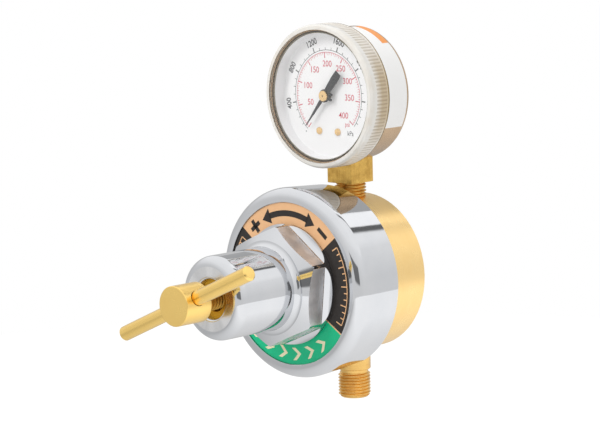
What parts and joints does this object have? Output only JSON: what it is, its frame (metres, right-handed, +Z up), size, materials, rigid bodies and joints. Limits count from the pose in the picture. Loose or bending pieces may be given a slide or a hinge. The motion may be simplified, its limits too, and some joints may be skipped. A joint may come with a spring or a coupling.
{
  "type": "gas pressure regulator",
  "caption": "Gas pressure regulator: round brass body, chrome bonnet with hexagon and neck, T-handle screw, dial gauge above and threaded outlet below.",
  "frame": {"origin": "centre of the threaded inlet port's mouth in the body's rear face", "axes": "+Y along the regulator's axis out of the inlet port, away from the T-handle; +Z up, the gauge's side"},
  "size_m": [0.083, 0.12, 0.1667],
  "materials": {
    "body_brass": "turned brass, satin",
    "screw_brass": "polished turned brass",
    "fitting_brass": "machined brass",
    "movement_brass": "stamped clock brass",
    "tube_bronze": "drawn bronze",
    "chrome": "bright chrome plate",
    "spring_steel": "drawn spring steel",
    "zinc_steel": "zinc plated steel",
    "plate_aluminium": "die cast",
    "diaphragm_rubber": "fabric reinforced rubber",
    "seat_plastic": "white PTFE",
    "gasket_fibre": "vulcanised fibre",
    "filter_bronze": "sintered bronze",
    "label": "printed foil ring",
    "case_paint": "gold lacquer",
    "sticker": "coated paper",
    "lens": "clear polycarbonate",
    "dial_paint": "satin white enamel",
    "pointer_paint": "matt black"
  },
  "bodies": {
    "regulator": {"body": "body_brass", "nozzle": "body_brass", "screw_bushing": "screw_brass", "outlet_fitting": "fitting_brass", "gauge_socket": "fitting_brass", "tube_tip": "movement_brass", "movement_back_plate": "movement_brass", "movement_front_plate": "movement_brass", "movement_pillars": "movement_brass", "dial_screws": "movement_brass", "bourdon_tube": "tube_bronze", "bonnet": "chrome", "adjusting_spring": "spring_steel", "valve_spring": "spring_steel", "hairspring": "spring_steel", "slip_ring": "zinc_steel", "case_screws": "zinc_steel", "movement_screws": "zinc_steel", "diaphragm": "diaphragm_rubber", "nozzle_gasket": "gasket_fibre", "inlet_filter": "filter_bronze", "bonnet_label": "label", "gauge_case": "case_paint", "case_sticker": "sticker", "gauge_lens": "lens", "dial": "dial_paint"},
    "spring_button": {"spring_button": "zinc_steel"},
    "adjusting_screw": {"adjusting_screw": "screw_brass", "t_bar": "screw_brass"},
    "diaphragm_assembly": {"diaphragm_plate": "plate_aluminium", "diaphragm_stud": "body_brass", "diaphragm_nut": "zinc_steel"},
    "valve": {"valve_poppet": "body_brass", "valve_seat": "seat_plastic"},
    "sector": {"sector_gear": "movement_brass"},
    "pointer": {"pointer": "pointer_paint", "pointer_hub": "movement_brass", "pinion": "movement_brass"},
    "link": {"link": "movement_brass"}
  },
  "joints": [
    {"name": "screw_travel", "type": "slide", "parent": "regulator", "child": "spring_button", "axis": [0, 1, 0], "range_m": [0, 0.00476], "deforming": ["adjusting_spring"]},
    {"name": "screw_turn", "type": "hinge", "parent": "spring_button", "child": "adjusting_screw", "pos_m": [0, -0.113, 0], "axis": [0, 1, 0], "range_deg": [0, 1080]},
    {"name": "diaphragm_stroke", "type": "slide", "parent": "regulator", "child": "diaphragm_assembly", "axis": [0, 1, 0], "range_m": [0, 0.0008], "stiffness_N_per_m": 1000, "deforming": ["diaphragm", "adjusting_spring"]},
    {"name": "valve_stroke", "type": "slide", "parent": "regulator", "child": "valve", "axis": [0, 1, 0], "range_m": [0, 0.0008], "deforming": ["valve_spring"]},
    {"name": "sector_swing", "type": "hinge", "parent": "regulator", "child": "sector", "pos_m": [0.01053, -0.0163, 0.07036], "axis": [0, -1, 0], "range_deg": [0, 27], "stiffness_Nm_per_rad": 0.01, "deforming": ["bourdon_tube", "tube_tip"]},
    {"name": "pointer_turn", "type": "hinge", "parent": "regulator", "child": "pointer", "pos_m": [0, -0.02, 0.0792], "axis": [0, 1, 0], "range_deg": [0, 270], "deforming": ["hairspring"]},
    {"name": "link_swing", "type": "hinge", "parent": "sector", "child": "link", "pos_m": [0.01196, -0.015, 0.06505], "axis": [0, 1, 0], "range_deg": [0, 27]}
  ],
  "couplings": [
    {"joint": "screw_turn", "follows": "screw_travel", "rad_per_m": 3957.9},
    {"joint": "valve_stroke", "follows": "diaphragm_stroke", "ratio": 1},
    {"joint": "pointer_turn", "follows": "sector_swing", "ratio": 10},
    {"joint": "link_swing", "follows": "sector_swing", "ratio": 1}
  ]
}
